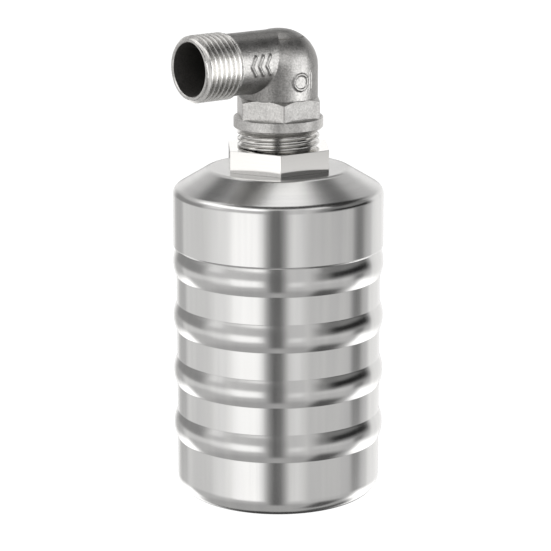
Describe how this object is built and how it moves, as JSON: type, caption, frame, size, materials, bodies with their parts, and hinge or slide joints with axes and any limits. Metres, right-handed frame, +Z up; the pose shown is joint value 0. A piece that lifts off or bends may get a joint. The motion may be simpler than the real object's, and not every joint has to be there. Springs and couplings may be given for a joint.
{
  "type": "float valve",
  "caption": "Stainless float valve: sealed ribbed float drum sliding on a ported valve tube under a threaded elbow inlet.",
  "frame": {"origin": "centre of the drum's flat base, with the drum fully raised (valve shut)", "axes": "+Z up along the drum and valve tube, -X out of the male inlet"},
  "size_m": [0.0679, 0.067, 0.1513],
  "materials": {
    "cast_stainless": "investment-cast stainless steel, vibration-polished satin with machined thread",
    "turned_stainless": "turned and polished stainless steel bar",
    "drum_sheet": "deep-drawn stainless sheet, fine vertical polish",
    "inner_stainless": "as-turned stainless steel",
    "spring_steel": "bright stainless spring wire",
    "brass": "turned brass",
    "ptfe": "white PTFE",
    "acetal": "natural acetal, turned",
    "nbr": "black nitrile rubber"
  },
  "bodies": {
    "valve": {"elbow": "cast_stainless", "elbow_seal": "ptfe", "inlet_strainer": "inner_stainless", "valve_body": "turned_stainless", "seat_ring": "inner_stainless", "snap_ring": "spring_steel", "end_plug": "inner_stainless", "end_plug_oring": "nbr", "pilot_nozzle": "brass", "nozzle_washer": "brass", "piston_spring": "spring_steel"},
    "piston": {"piston": "acetal", "piston_ring": "nbr", "piston_seal": "nbr", "bleed_jet": "brass"},
    "guide": {"guide_ring": "ptfe"},
    "drum": {"drum_cover": "drum_sheet", "drum_body": "drum_sheet", "neck_ring": "inner_stainless", "guide_bush": "acetal", "well_tube": "inner_stainless", "well_cap": "inner_stainless", "pad_stud": "inner_stainless", "pad_locknut": "inner_stainless", "pilot_pad": "nbr"}
  },
  "joints": [
    {"name": "piston_open", "type": "slide", "parent": "valve", "child": "piston", "axis": [0, 0, -1], "range_m": [0, 0.004], "stiffness_N_per_m": 150, "springref_m": -0.004, "deforming": ["piston_spring"]},
    {"name": "drum_slide", "type": "slide", "parent": "valve", "child": "guide", "axis": [0, 0, 1], "range_m": [-0.01, 0]},
    {"name": "drum_turn", "type": "hinge", "parent": "guide", "child": "drum", "pos_m": [0, 0, 0.1035], "axis": [0, 0, 1], "continuous": true}
  ]
}
